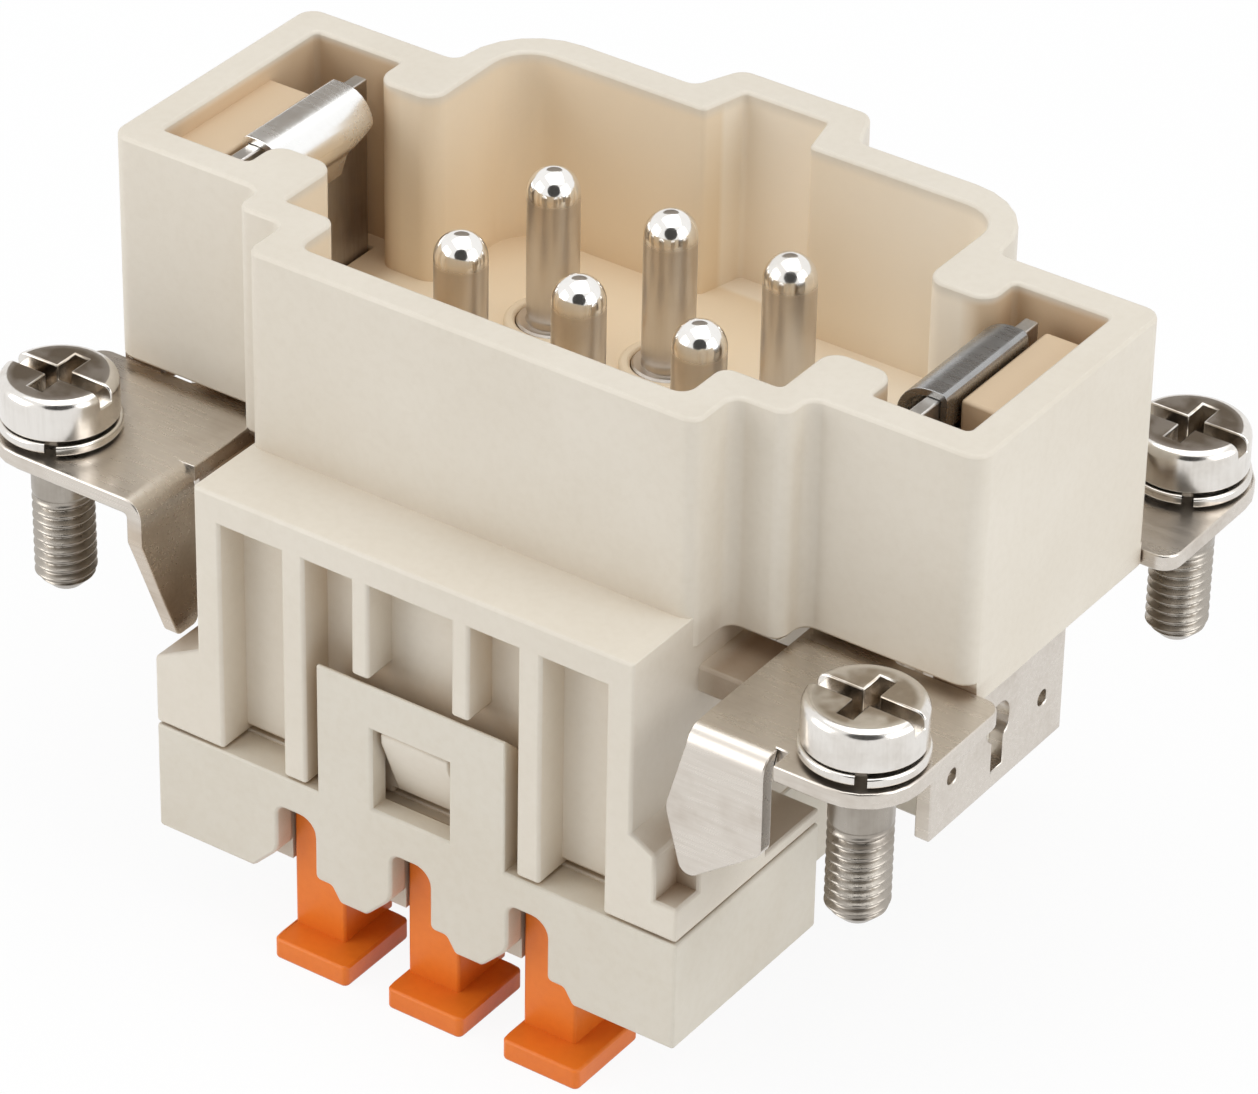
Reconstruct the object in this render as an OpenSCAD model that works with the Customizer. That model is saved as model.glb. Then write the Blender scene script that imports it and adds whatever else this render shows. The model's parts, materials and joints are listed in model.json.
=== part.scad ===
// Rectangular male connector insert: six pins and earth, spring wire clamps opened by levers.
// The origin is the centre of the four fixing screws, on the underside of the earth plates.
// X runs along the length, the front long side faces -Y, and the pins point up, along +Z.

/* [Fixing screws] */
// Distance between the screws along the length
screw_pitch_x = 44; // [43:0.25:46]
// Distance between the screws across the width
screw_pitch_y = 27; // [26:0.25:29]
// Outside diameter of the screw's thread
screw_d = 2.95; // [2.5:0.05:3.1]
// Length of the screw below the earth plate
screw_reach = 7.7; // [5:0.1:12]
// Diameter of the screw's head
head_d = 5.6; // [5:0.1:6]
// Height of the screw's head
head_h = 2.05; // [1.8:0.05:2.6]
// Diameter of the lock washer
washer_d = 5.9; // [5:0.1:6.2]
// Thickness of the lock washer
washer_t = 0.7; // [0.5:0.05:0.9]

/* [Shroud] */
// Height of the rim above the mounting plane
rim_z = 13; // [12:0.1:16]
// Height of the cavity's floor above the mounting plane
floor_z = 3; // [2.6:0.1:4]
// Length over the two end towers
tower_l = 47; // [46.5:0.1:48]
// Width of the end towers
tower_w = 15; // [14:0.1:16]
// Length of the shroud's wide middle
shroud_l = 29.7; // [29:0.1:31]
// Width of the shroud's wide middle
shroud_w = 24.3; // [23:0.1:26]
// Thickness of the shroud's walls
wall = 1.7; // [1.3:0.05:2]
// Length of the step in each front corner
step_l = 2.75; // [2.4:0.05:3.2]
// Depth of the step in each front corner
step_w = 2.85; // [2.2:0.05:3.4]
// Radius of the two back corners
back_r = 4; // [2.5:0.1:4.4]
// Width of the polarising key at its top
key_w = 7.2; // [6:0.1:9]
// How far the polarising key stands out of the back wall
key_out = 2.5; // [1.5:0.1:3]

/* [Contact pins] */
// Distance between poles along a row
pitch = 6.5; // [6.2:0.05:7]
// Distance between the two rows
row_gap = 7.2; // [6:0.1:9]
// Diameter of the pins
pin_d = 2.5; // [2:0.05:3]
// Height of the pin tips above the mounting plane
pin_tip_z = 11.8; // [10:0.1:12.5]

/* [Terminal block] */
// Length of the terminal block
block_l = 24; // [23:0.1:25]
// How far the block's long walls stand back from the earth plates' edges
block_in = 0.25; // [0:0.05:0.6]
// Height of the ledge's top above the mounting plane
ledge_z = 2.8; // [2:0.1:3]
// Thickness of the ledge above the grooves
ledge_t = 1.6; // [1:0.1:2]
// Depth of the seam with the wire cover below the mounting plane
seam_depth = 11; // [10:0.1:13]
// Depth of the grooves in the long walls
groove_depth = 1.8; // [1:0.1:2]
// Width of the two ribs near the middle
rib_inner_w = 0.95; // [0.6:0.05:1.5]
// Width of the two outer ribs
rib_outer_w = 1.25; // [0.8:0.05:1.8]
// Distance of the inner ribs from the middle
rib_inner_x = 2.75; // [2.2:0.05:3.5]
// Length of the thick stretch at each end of the long walls
block_cheek = 1.4; // [1:0.1:2]

/* [Wire cover] */
// Length of the wire cover
cover_l = 29; // [28.5:0.1:29.2]
// Height of the wire cover
cover_h = 5.9; // [5:0.1:7]
// Width of the latch tabs
tab_w = 10.4; // [9:0.1:11]
// Height of the latch tabs above the seam
tab_h = 6.9; // [6.2:0.1:8]
// Thickness of the latch tabs
tab_t = 1.2; // [0.9:0.05:1.3]
// Width of the window in the latch tabs
window_w = 4.3; // [3.5:0.1:5]
// Height of the window in the latch tabs
window_h = 4.35; // [3.5:0.05:4.5]
// Width of the lever slots in the long walls
slot_w = 2.2; // [1.8:0.05:2.6]
// Diameter of the wire entries
wire_d = 3.4; // [2.5:0.1:3.6]

/* [Release levers] */
// Travel of a release lever
travel = 2; // [1.5:0.1:2.4]
// Room left between a pressed lever's foot and the cover
foot_gap = 1.4; // [0.5:0.1:2]
// Width of a lever's foot
foot_w = 4.2; // [3.6:0.1:4.6]
// Depth of a lever's foot, front to back
foot_l = 4.9; // [4:0.1:5.4]
// Thickness of a lever's foot
foot_t = 1.1; // [0.8:0.05:1.4]

/* [Earth plates] */
// Thickness of the earth plate's sheet
plate_t = 0.8; // [0.6:0.05:1]
// Margin of the plate around the screw
ear = 3; // [2.8:0.05:3.2]
// Depth of the end flange below the plate
flange_depth = 9.2; // [7:0.1:10]
// Width of the end flange
flange_w = 11.1; // [9:0.1:11.6]
// Width of the earth blade
blade_w = 9.6; // [8:0.1:10.5]
// Thickness of the earth blade
blade_t = 0.7; // [0.5:0.05:0.9]
// Distance of the earth blade from the tower's end
blade_in = 5.1; // [4.8:0.05:5.6]

/* [Hidden] */
$fn = 48;

// Room between pieces of one moulding or stamping fit
fit = 0.1;
// Room round a piece that slides or turns
play = 0.2;
// Overshoot of cutting tools past the face they cut
past = 1;

POLES = 6;

// Levels
slab_z = plate_t;
shroud_z = slab_z + 0.4;
seam_z = -seam_depth;
seam_gap = 0.15;
cover_z = seam_z - cover_h;
groove_z = ledge_z - ledge_t;
boss_h = 0.8;

// Shroud, seen from above
half_l = shroud_l / 2;
half_w = shroud_w / 2;
tower_x = tower_l / 2;
tower_y = tower_w / 2;
blade_x = tower_x - blade_in;
stub_y = 3.75;
cavity_x = half_l - wall + 0.25;
pocket_x = blade_x - 1.6;
key_slope = 1;
key_inset = 0.4;
backing_gap = 0.5;
backing_l = 7;
backing_drop = 1.1;
boss_rim = 1.05;

// Radii of the shroud's upright edges, kept inside the walls they join
edge_r = 0.7;
step_r = min(edge_r, (half_w - step_w - tower_y) * 0.4);
neck_r = 0.6;
corner_r = min(back_r, half_w - tower_y - neck_r - 0.05);
tower_r = 0.9;
pocket_r = 0.3;
stub_r = min(1, (pocket_x - cavity_x) * 0.28);

// Terminal block
plate_margin = ear + 0.1;
block_x = block_l / 2;
block_y = screw_pitch_y / 2 + plate_margin - block_in;
groove_y = block_y - groove_depth;
chamber_wall = 1.2;
chamber_w = pitch - chamber_wall;
chamber_in = 1.2;
chamber_out = groove_y - chamber_wall - fit;
flare_in = 9.2;
flare_z = seam_z + 3.6;
flare_rise = 1.3;
end_lip = 0.7;
leg_pocket_w = 1.2;
leg_pocket_in = 1.75;
leg_pocket_drop = 2;
shelf_w = 3.7;
shelf_t = 1.4;
shelf_reach = 0.9;
seam_slit = 0.35;
slit_in = 0.6;
tab_relief = 0.3;
tab_bar = 2.35;
tab_root = 1;
tab_land = 0.15;
tab_lead = tab_t - tab_land;
nose_w = window_w - 0.5;
nose_out = 1.45;
nose_lip = 0.5;
nose_low = 0.15;
nose_h = window_h - 0.55;

// Wire cover
end_recess = 2.6;
recess_y = 4.9;
web = 1.2;
lip_in = 0.8;
bed = 2.6;
bed_roof = 1.7;
channel_roof = 0.6;
channel_top = seam_z - seam_gap - channel_roof;
slot_top = 1.9;
slot_flare = 1.4;
slot_step = 0.8;
slot_r = 0.5;

// Pins and wire clamps, measured from the middle of the block outwards
pin_y = row_gap / 2;
pin_r = pin_d / 2;
collar_r = pin_r + 0.45;
shoulder_r = pin_r + 0.85;
shoulder_t = 0.8;
spigot_r = 0.8;
bar_t = 0.8;
bar_w = 3.6;
bar_z = slab_z - shoulder_t;
bar_drop = 8.7;
bar_bend = 1;
rivet_h = 0.4;
clamp_depth = 9.75;
spring_t = 0.35;
spring_w = chamber_w - 1.1;
spring_r = 1.8;
spring_rest = 1.2;
spring_leg = 3.4;
spring_y = chamber_out - spring_r - spring_t / 2 - 0.25;
spring_top = slab_z - spring_t / 2 - 0.02;
bar_out = block_y - clamp_depth;
spring_tip = [bar_out + spring_t, spring_top - 2 * spring_r - spring_leg];
wire_y = bar_out + wire_d / 2;
funnel_w = 1.7;

// Levers, measured the same way
lever_set = 1.35;
lever_front = block_y - lever_set;
lever_back = lever_front - 3.7;
head_in = wire_y + wire_d / 2;
head_out = chamber_out - play;
head_half_w = chamber_w / 2 - play;
rest_gap = 0.3;
stem_top = channel_top - travel - play;
stem_left = slot_w / 2;
stem_step = 0.65;
stem_right = slot_w / 2 + stem_step;
foot_top = cover_z - foot_gap - travel;
foot_left = stem_left + 0.1;
foot_r = 0.3;
toe = block_y + 0.25;

// Earth plates, right-hand one
plate_in = cover_l / 2 + 0.4;
plate_out = screw_pitch_x / 2 + ear;
plate_y = screw_pitch_y / 2 + plate_margin;
notch_y = tower_y - 0.5;
flange_x = tower_x - 2.8;
flange_relief = 0.4;
keyhole_d = 2;
keyhole_w = 1;
keyhole_l = 2.5;
peg_hole_d = 0.8;
peg_hole_y = 3.8;
bend_r = plate_t + 0.2;
leg_w = 4;
leg_depth = 7.2;
leg_bulge = 1;
leg_slant = 3;
hook_depth = 7.7;
hook_w = 4;
hook_tip = 1.5;
hole_r = screw_d / 2 + play;
blade_top = rim_z - 0.9;
blade_bend = 0.8;
blade_foot = 2.6;
tongue_w = 6.6;
tongue_tip_w = 3.3;
tongue_l = 3.6;
tongue_t = 0.35;
tongue_gap = 0.03;
tongue_bulge = 1.3;
tongue_r = 1.5;
tongue_step = 0.8;
tongue_hook = 1.6;

// Fixing screws
washer_z = plate_t + 0.05;
head_z = washer_z + washer_t + 0.08;
head_r = 0.5;
screw_point = 0.7;
screw_neck_r = screw_d / 2 - 0.25;
neck_drop = 0.3;
drive_w = 0.8;
slot_depth = 0.75;
cross_depth = 1.2;
cross_r = 1.7;
washer_split = 0.5;

function unit(v) = v / norm(v);
function reverse(list) = [for (i = [len(list) - 1:-1:0]) list[i]];
function flip_x(list) = [for (p = reverse(list)) [-p[0], p[1], p[2]]];

// Points of an arc from one angle to another
function arc(centre, r, from, to, steps = 8) = [
    for (i = [0:steps]) let (a = from + (to - from) * i / steps) centre + r * [cos(a), sin(a)]
];

// One corner [x, y, r] of an outline, turned into an arc that meets both its edges
function corner_arc(before, corner, after) =
    let (
        p = [corner[0], corner[1]],
        u = unit([before[0], before[1]] - p),
        v = unit([after[0], after[1]] - p),
        half = acos(u * v) / 2,
        centre = p + unit(u + v) * corner[2] / sin(half),
        reach = corner[2] / tan(half),
        first = p + u * reach - centre,
        last = p + v * reach - centre,
        from = atan2(first[1], first[0]),
        swing = atan2(last[1], last[0]) - from,
        turn = swing > 180 ? swing - 360 : swing < -180 ? swing + 360 : swing
    )
    arc(centre, corner[2], from, from + turn, 6);

// An outline of corners [x, y, r], with a sharp corner where r is 0
function rounded(corners) = [
    for (i = [0:len(corners) - 1])
        let (n = len(corners), c = corners[i])
        each c[2] == 0 ? [[c[0], c[1]]] : corner_arc(corners[(i + n - 1) % n], c, corners[(i + 1) % n])
];

// One side of a sheet that follows a path, at the given distance from its middle
function sheet_side(path, d) = [
    for (i = [0:len(path) - 1])
        let (
            a = unit(path[max(i, 1)] - path[max(i, 1) - 1]),
            b = unit(path[min(i + 1, len(path) - 1)] - path[min(i, len(path) - 2)]),
            m = unit(a + b)
        )
        path[i] + d / (m * a) * [-m[1], m[0]]
];

// Outline of a bent sheet of thickness t
function sheet(path, t) = concat(sheet_side(path, t / 2), reverse(sheet_side(path, -t / 2)));

// A profile of [y, z] points, drawn out along X about the middle
module along_x(w) {
    translate([-w / 2, 0, 0]) rotate([90, 0, 90]) linear_extrude(w) children();
}

// A profile of [x, z] points, drawn out along Y about the middle
module along_y(w) {
    translate([0, w / 2, 0]) rotate([90, 0, 0]) linear_extrude(w) children();
}

module block(low, high) {
    translate(low) cube(high - low);
}

module both_ends() {
    children();
    mirror([1, 0, 0]) children();
}

module both_sides() {
    children();
    mirror([0, 1, 0]) children();
}

// Pole i of six, as if it stood in the middle of the front row
module at_pole(i) {
    rotate([0, 0, i < POLES / 2 ? 0 : 180]) translate([(i % (POLES / 2) - 1) * pitch, 0, 0]) children();
}

module each_pole() {
    for (i = [0:POLES - 1]) at_pole(i) children();
}

// The right-hand corners of the shroud's outline, from the front to the back
SHROUD_SIDE = [
    [half_l - step_l, -half_w, edge_r],
    [half_l - step_l, -half_w + step_w, edge_r],
    [half_l, -half_w + step_w, step_r],
    [half_l, -tower_y, step_r],
    [tower_x, -tower_y, tower_r],
    [tower_x, tower_y, tower_r],
    [half_l, tower_y, neck_r],
    [half_l, half_w, corner_r],
    [key_w / 2 + key_slope, half_w, edge_r],
    [key_w / 2, half_w + key_out, tower_r]
];

// The same corners for the opening inside: cavity, gaps between the stubs, and end pockets
CAVITY_SIDE = [
    [half_l - step_l - wall, -half_w + wall, edge_r],
    [half_l - step_l - wall, -half_w + step_w + wall, edge_r],
    [cavity_x, -half_w + step_w + wall, pocket_r],
    [cavity_x, -stub_y, stub_r],
    [pocket_x, -stub_y, stub_r],
    [pocket_x, -tower_y + wall, pocket_r],
    [tower_x - wall, -tower_y + wall, pocket_r],
    [tower_x - wall, tower_y - wall, pocket_r],
    [pocket_x, tower_y - wall, pocket_r],
    [pocket_x, stub_y, stub_r],
    [cavity_x, stub_y, stub_r],
    [cavity_x, half_w - wall, corner_r / 2],
    [key_w / 2 + key_slope - wall, half_w - wall, pocket_r],
    [key_w / 2 - wall + key_inset, half_w + key_out - wall, pocket_r]
];

module shroud_outline() {
    polygon(rounded(concat(SHROUD_SIDE, flip_x(SHROUD_SIDE))));
}

module cavity_outline() {
    polygon(rounded(concat(CAVITY_SIDE, flip_x(CAVITY_SIDE))));
}

// What stands on the cavity's floor: a boss round each pin, a backing behind each earth blade
module floor_bosses() {
    behind = blade_x + blade_t / 2 + backing_gap;
    each_pole() translate([0, -pin_y, floor_z - fit]) cylinder(r = pin_r + boss_rim, h = boss_h + fit);
    for (turn = [0, 180])
        rotate([0, 0, turn]) block([behind, blade_w / 2 - play - backing_l, floor_z - fit],
                                   [tower_x - wall + fit, blade_w / 2 - play, rim_z - backing_drop]);
}

// One flared end of the block, where the plate's leg comes down, and the low lip beside it
module flare() {
    block([block_x - past, -block_y, seam_z], [cover_l / 2, -recess_y, seam_z + end_lip]);
    profile = [
        [block_x - past, seam_z],
        [cover_l / 2, seam_z],
        [cover_l / 2, flare_z],
        [block_x, flare_z + flare_rise],
        [block_x - past, flare_z + flare_rise]
    ];
    translate([0, -(block_y + flare_in) / 2, 0]) along_y(block_y - flare_in) polygon(profile);
}

// Shelf that carries the inner edge of an earth plate
module plate_shelf() {
    block([block_x - past, -tower_y - fit - shelf_w, -shelf_t], [plate_in + shelf_reach, -tower_y - fit, 0]);
}

// Grooves between the ribs of one long wall
module grooves() {
    edges = [
        [-block_x + block_cheek, -pitch - rib_outer_w / 2],
        [-pitch + rib_outer_w / 2, -rib_inner_x - rib_inner_w / 2],
        [-rib_inner_x + rib_inner_w / 2, rib_inner_x - rib_inner_w / 2],
        [rib_inner_x + rib_inner_w / 2, pitch - rib_outer_w / 2],
        [pitch + rib_outer_w / 2, block_x - block_cheek]
    ];
    for (e = edges) {
        block([e[0], -block_y - past, seam_z - past], [e[1], -groove_y, groove_z]);
        block([e[0], -block_y - past, seam_z - past], [e[1], -groove_y + slit_in, seam_z + seam_slit]);
    }
    block([-tab_w / 2 - tab_relief, -block_y - past, seam_z - past],
          [tab_w / 2 + tab_relief, -groove_y, seam_z + tab_h + tab_relief]);
}

// Wedge that the latch tab's window snaps over
module catch_nose() {
    top = seam_z + tab_h - tab_bar - play;
    profile = [
        [-groove_y + fit, top],
        [-groove_y - nose_out, top],
        [-groove_y - nose_out, top - nose_lip],
        [-groove_y - nose_low, top - nose_h],
        [-groove_y + fit, top - nose_h]
    ];
    along_x(nose_w) polygon(profile);
}

// Space for one wire clamp, open at the seam
module chamber() {
    block([-chamber_w / 2, -chamber_out, seam_z - past], [chamber_w / 2, -chamber_in, slab_z]);
    translate([0, -pin_y, 0]) cylinder(r = collar_r + fit / 2, h = rim_z);
}

// Shroud, terminal block and what carries the earth plates, still without openings
module main_body() {
    translate([0, 0, shroud_z]) linear_extrude(rim_z - shroud_z) shroud_outline();
    block([-block_x, -block_y, seam_z], [block_x, block_y, ledge_z]);
    both_ends() {
        block([flange_x + backing_gap, -notch_y + fit, 0], [tower_x, notch_y - fit, shroud_z + fit]);
        both_sides() {
            flare();
            plate_shelf();
        }
    }
}

// The large moulding: shroud above, terminal block below
module contact_carrier() {
    color([0.85, 0.81, 0.74]) {
        difference() {
            union() {
                difference() {
                    main_body();
                    translate([0, 0, floor_z]) linear_extrude(rim_z - floor_z + past) cavity_outline();
                }
                floor_bosses();
            }
            both_sides() grooves();
            each_pole() chamber();
            for (turn = [0, 180])
                rotate([0, 0, turn])
                    block([cover_l / 2 - leg_pocket_w, -block_y - past, -leg_depth - leg_pocket_drop],
                          [cover_l / 2 + past, -block_y + leg_pocket_in, 0]);
            both_ends() block([blade_x - blade_t / 2 - fit, -blade_w / 2 - fit, 0],
                              [blade_x + blade_t / 2 + fit, blade_w / 2 + fit, floor_z + past]);
        }
        both_sides() catch_nose();
    }
}

// Opening of one lever slot in the cover's long wall, narrow above and flared at the bottom
module slot_outline() {
    top = seam_z - slot_top;
    half = slot_w / 2;
    polygon(rounded([
        [-half, top, slot_r],
        [-half, cover_z + slot_flare, slot_flare - pocket_r],
        [-half - slot_flare, cover_z, 0],
        [-half - slot_flare, cover_z - past, 0],
        [half + slot_flare, cover_z - past, 0],
        [half + slot_flare, cover_z, 0],
        [half + slot_flare - slot_r, cover_z + slot_step, pocket_r],
        [half, cover_z + slot_step, pocket_r],
        [half, top, tower_r]
    ]));
}

// What one pole takes out of the cover: lever channel, slot in the wall and wire entry
module cover_pole() {
    block([-stem_left - play, -lever_front - play, cover_z - past],
          [stem_right + play, -chamber_out + fit, channel_top]);
    block([-stem_left - play, -chamber_out, cover_z - past],
          [stem_right + play, -lever_back + play, seam_z + past]);
    translate([0, -block_y, 0]) along_y(2 * (block_y - lever_front) + play) slot_outline();
    translate([0, -wire_y, cover_z - past]) {
        cylinder(d = wire_d, h = cover_h + 2 * past);
        cylinder(r1 = wire_d / 2 + funnel_w, r2 = wire_d / 2, h = funnel_w + past);
    }
}

// Latch tab with a window, slanted behind its top edge to ride over the catch nose
module latch_tab() {
    top = seam_z + tab_h;
    profile = [
        [-block_y, seam_z - tab_root],
        [-block_y, top],
        [-block_y + tab_land, top],
        [-block_y + tab_t, top - tab_lead],
        [-block_y + tab_t, seam_z - tab_root]
    ];
    difference() {
        along_x(tab_w) polygon(profile);
        block([-window_w / 2, -block_y - past, top - tab_bar - window_h],
              [window_w / 2, -block_y + tab_t + past, top - tab_bar]);
    }
}

// The lower moulding with the lever slots and the wire entries
module wire_cover() {
    bed_y = bar_out - bed;
    bed_x = cover_l / 2 - end_recess - web / 2;
    webs = [-bed_x, -pitch, 0, pitch, bed_x];
    color([0.83, 0.8, 0.74]) {
        difference() {
            union() {
                block([-cover_l / 2, -block_y, cover_z], [cover_l / 2, block_y, seam_z - seam_gap]);
                block([-block_x + lip_in, -block_y + lip_in + tab_t, seam_z - seam_gap - fit],
                      [block_x - lip_in, block_y - lip_in - tab_t, seam_z]);
            }
            each_pole() cover_pole();
            both_ends() block([cover_l / 2 - end_recess, -recess_y, cover_z - past],
                              [cover_l / 2 + past, recess_y, seam_z + past]);
            for (i = [1:len(webs) - 1])
                block([webs[i - 1] + web / 2, -bed_y, cover_z - past],
                      [webs[i] - web / 2, bed_y, seam_z - bed_roof]);
        }
        both_sides() latch_tab();
    }
}

// Turned pin with a round tip, a shoulder under the floor and a riveted spigot
module pin() {
    profile = concat(
        [[0, bar_z - bar_t - rivet_h]],
        arc([0, pin_tip_z - pin_r], pin_r, 90, 0),
        [
            [pin_r, floor_z + boss_h],
            [collar_r, floor_z + boss_h],
            [collar_r, slab_z],
            [shoulder_r, slab_z],
            [shoulder_r, bar_z],
            [spigot_r, bar_z],
            [spigot_r, bar_z - bar_t],
            [spigot_r + rivet_h, bar_z - bar_t],
            [spigot_r + rivet_h / 2, bar_z - bar_t - rivet_h]
        ]
    );
    color([0.86, 0.85, 0.82]) translate([0, -pin_y, 0]) rotate_extrude() polygon(profile);
}

// Bar from the pin to the wire clamp, bent down beside the wire
module current_bar() {
    y = -bar_out + bar_t / 2;
    z = bar_z - bar_t / 2;
    path = concat(
        [[-pin_y + shoulder_r, z]],
        arc([y + bar_bend, z - bar_bend], bar_bend, 90, 180, 6),
        [[y, z - bar_drop]]
    );
    color([0.72, 0.55, 0.36]) difference() {
        along_x(bar_w) polygon(sheet(path, bar_t));
        translate([0, -pin_y, bar_z - 2 * bar_t]) cylinder(r = spigot_r + fit / 2, h = 3 * bar_t);
    }
}

// Bent strip that presses the wire on the bar
module clamp_spring() {
    centre = [-spring_y, spring_top - spring_r];
    path = concat(
        [[-bar_out - spring_rest, spring_top]],
        arc(centre, spring_r, 90, 270, 14),
        [[-spring_tip[0], spring_tip[1]]]
    );
    color([0.75, 0.76, 0.78]) along_x(spring_w) polygon(sheet(path, spring_t));
}

// Outline of a lever's stem up to the given level, with a shoulder low on its right
module stem_outline(top) {
    polygon(rounded([
        [-stem_left, top, 0],
        [-stem_left, foot_top - fit, 0],
        [stem_right, foot_top - fit, 0],
        [stem_right, cover_z - fit, stem_step - fit],
        [slot_w / 2, cover_z + stem_step, foot_r],
        [slot_w / 2, top, 0]
    ]));
}

// Lever with a blade under the spring, a stem in the cover and a foot to push on
module release_lever() {
    leg_slope = (spring_top - 2 * spring_r - spring_tip[1]) / (spring_y - spring_tip[0]);
    under = spring_top - 2 * spring_r - spring_t / 2 * sqrt(1 + leg_slope * leg_slope) - rest_gap;
    tip_in = under - leg_slope * (spring_y - head_in);
    blade = [
        [-head_out, seam_z + fit],
        [-head_in, seam_z + fit],
        [-head_in, tip_in],
        [-spring_y, under],
        [-head_out, under - travel]
    ];
    foot = rounded([
        [-foot_left, -toe, foot_r],
        [-foot_left + foot_w, -toe, foot_r],
        [-foot_left + foot_w, -toe + foot_l, foot_r],
        [-foot_left, -toe + foot_l, foot_r]
    ]);
    color([0.92, 0.43, 0.13]) {
        along_x(2 * head_half_w) polygon(blade);
        translate([0, -(lever_front + lever_back) / 2, 0])
            along_y(lever_front - lever_back) stem_outline(stem_top);
        translate([0, -(head_out + lever_back) / 2, 0])
            along_y(head_out - lever_back) stem_outline(seam_z + fit);
        translate([0, 0, foot_top - foot_t]) linear_extrude(foot_t) polygon(foot);
    }
}

// The flat of the right-hand plate, with an ear round each screw
PLATE_CORNERS = [
    [plate_in, -plate_y, 0],
    [plate_out, -plate_y, ear - fit],
    [plate_out, -notch_y, tower_r],
    [flange_x - bend_r - flange_relief, -notch_y, pocket_r],
    [flange_x - bend_r - flange_relief, -flange_w / 2, 0],
    [flange_x - bend_r, -flange_w / 2, 0],
    [flange_x - bend_r, flange_w / 2, 0],
    [flange_x - bend_r - flange_relief, flange_w / 2, 0],
    [flange_x - bend_r - flange_relief, notch_y, pocket_r],
    [plate_out, notch_y, tower_r],
    [plate_out, plate_y, ear - fit],
    [plate_in, plate_y, 0]
];

// Flange bent down between the ears, with a keyhole and two small holes
module end_flange() {
    middle = plate_t / 2;
    path = concat(
        [[flange_x - bend_r - fit, middle]],
        arc([flange_x - bend_r, middle - bend_r + middle], bend_r - middle, 90, 0, 6),
        [[flange_x - middle, -flange_depth]]
    );
    difference() {
        along_y(flange_w) polygon(sheet(path, plate_t));
        translate([flange_x - 2 * plate_t, 0, -flange_depth * 0.63]) rotate([0, 90, 0]) {
            cylinder(d = keyhole_d, h = 4 * plate_t);
            block([0, -keyhole_w / 2, 0], [keyhole_l, keyhole_w / 2, 4 * plate_t]);
            for (side = [-1, 1])
                translate([peg_hole_d, side * peg_hole_y, 0]) cylinder(d = peg_hole_d, h = 4 * plate_t);
        }
    }
}

// Broad leg bent down at the plate's front edge
module front_leg() {
    middle = plate_t / 2;
    path = concat(
        [[-plate_y + bend_r + fit, middle]],
        arc([-plate_y + bend_r, middle - bend_r + middle], bend_r - middle, 90, 180, 6),
        [[-plate_y + middle, -leg_depth - past]]
    );
    outline = rounded([
        [plate_in, past, 0],
        [plate_in, 0, 0],
        [plate_in - leg_bulge, -leg_depth / 2, 1.5],
        [plate_in, -leg_depth, 0.6],
        [plate_in + leg_w, -leg_depth + leg_slant, 0.5],
        [plate_in + leg_w, past, 0]
    ]);
    intersection() {
        translate([plate_in + leg_w / 2, 0, 0]) along_x(2 * leg_w) polygon(sheet(path, plate_t));
        translate([0, -plate_y, 0]) along_y(4 * bend_r) polygon(outline);
    }
}

// Tapered leg bent down at the plate's inner edge
module hook_leg() {
    middle = plate_t / 2;
    path = concat(
        [[plate_in + bend_r + fit, middle]],
        arc([plate_in + bend_r, middle - bend_r + middle], bend_r - middle, 90, 180, 6),
        [[plate_in + middle, -hook_depth - past]]
    );
    outline = rounded([
        [plate_y - hook_w, past, 0],
        [plate_y - hook_w, -hook_depth, 0.4],
        [plate_y - hook_w + hook_tip, -hook_depth, 0.4],
        [plate_y, -hook_tip, 0.5],
        [plate_y, past, 0]
    ]);
    intersection() {
        translate([0, plate_y - hook_w / 2, 0]) along_y(2 * hook_w) polygon(sheet(path, plate_t));
        translate([plate_in, 0, 0]) along_x(4 * bend_r) polygon(outline);
    }
}

// Right-hand earth plate, one bent stamping
module earth_plate() {
    color([0.78, 0.76, 0.73]) {
        difference() {
            linear_extrude(plate_t) polygon(rounded(PLATE_CORNERS));
            for (side = [-1, 1])
                translate([screw_pitch_x / 2, side * screw_pitch_y / 2, -past])
                    cylinder(r = hole_r, h = plate_t + 2 * past);
            block([blade_x - blade_bend - fit, -blade_w / 2 - fit, -past],
                  [blade_x + blade_t / 2 + fit, blade_w / 2 + fit, plate_t + past]);
            block([plate_in - past, -plate_y - past, -past],
                  [plate_in + leg_w, -plate_y + bend_r, plate_t + past]);
            block([plate_in + leg_w - fit, -plate_y - past, -past],
                  [plate_in + leg_w + 0.5, -plate_y + 1.2, plate_t + past]);
            block([plate_in - past, plate_y - hook_w, -past],
                  [plate_in + bend_r, plate_y + past, plate_t + past]);
        }
        end_flange();
        front_leg();
        hook_leg();
    }
}

// Upright blade with a foot under the plate
module earth_contact() {
    path = concat(
        [[blade_x - blade_foot, -blade_t / 2]],
        arc([blade_x - blade_bend, blade_bend - blade_t / 2], blade_bend, -90, 0, 6),
        [[blade_x, blade_top]]
    );
    color([0.7, 0.69, 0.67]) along_y(blade_w) polygon(sheet(path, blade_t));
}

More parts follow.
